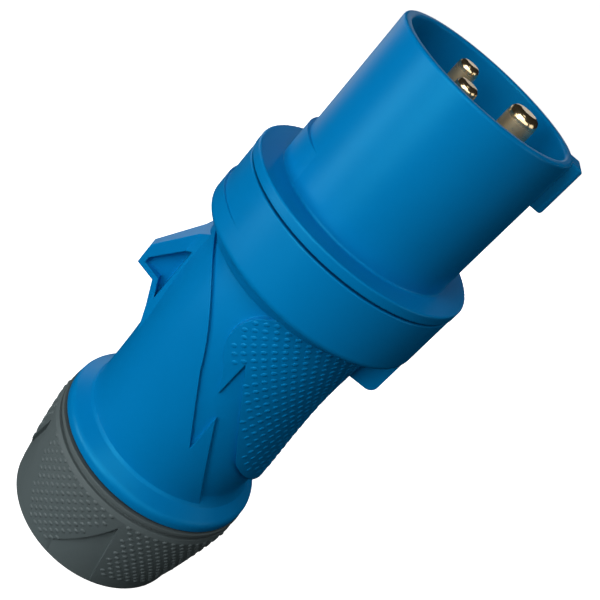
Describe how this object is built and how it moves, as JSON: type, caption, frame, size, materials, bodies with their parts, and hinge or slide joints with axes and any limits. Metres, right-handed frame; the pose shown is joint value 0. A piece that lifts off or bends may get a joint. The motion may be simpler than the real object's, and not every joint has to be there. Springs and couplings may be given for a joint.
{
  "type": "industrial pin and sleeve plug",
  "caption": "Straight industrial pin and sleeve plug with a round keyed shroud, three contact pins, a moulded grip handle with a top fin and a faceted cable gland nut.",
  "frame": {"origin": "centre of the cable mouth, on the end face of the gland nut that the plug stands on", "axes": "+Z along the plug from the cable end to the mouth of the shroud, +Y to the fin at 12 o'clock, -Y to the key lug and the earth pin at 6 o'clock"},
  "size_m": [0.056, 0.0594, 0.1465],
  "materials": {
    "blue_plastic": "satin",
    "black_plastic": "matte",
    "grey_plastic": "matte",
    "black_rubber": "matte",
    "nickelled_brass": "polished",
    "zinc_steel": "satin"
  },
  "bodies": {
    "handle": {"handle_housing": "blue_plastic", "cable_seal": "black_rubber", "cable_seal_insert": "black_rubber"},
    "seal_carriage": {"housing_seal": "black_rubber"},
    "front_housing": {"shroud_housing": "blue_plastic", "contact_carrier": "grey_plastic", "carrier_retainer": "grey_plastic", "earth_pin": "nickelled_brass", "line_pin": "nickelled_brass", "neutral_pin": "nickelled_brass", "earth_terminal_screw": "zinc_steel", "line_terminal_screw": "zinc_steel", "neutral_terminal_screw": "zinc_steel", "earth_wire_plate": "zinc_steel", "line_wire_plate": "zinc_steel", "neutral_wire_plate": "zinc_steel", "carrier_screw_1": "zinc_steel", "carrier_screw_2": "zinc_steel", "carrier_screw_3": "zinc_steel"},
    "cage_carriage": {"clamping_cage": "black_plastic", "thrust_washer": "black_plastic"},
    "gland_nut": {"gland_nut": "black_plastic"}
  },
  "joints": [
    {"name": "front_advance", "type": "slide", "parent": "handle", "child": "seal_carriage", "axis": [0, 0, 1], "range_m": [0, 0.011]},
    {"name": "front_turn", "type": "hinge", "parent": "seal_carriage", "child": "front_housing", "pos_m": [0, 0, 0.1], "axis": [0, 0, 1], "range_deg": [0, 330]},
    {"name": "nut_advance", "type": "slide", "parent": "handle", "child": "cage_carriage", "axis": [0, 0, -1], "range_m": [0, 0.008]},
    {"name": "nut_turn", "type": "hinge", "parent": "cage_carriage", "child": "gland_nut", "pos_m": [0, 0, 0.014], "axis": [0, 0, -1], "range_deg": [0, 720]}
  ],
  "couplings": [
    {"joint": "front_turn", "follows": "front_advance", "rad_per_m": 523.6},
    {"joint": "nut_turn", "follows": "nut_advance", "rad_per_m": 1570.8}
  ]
}
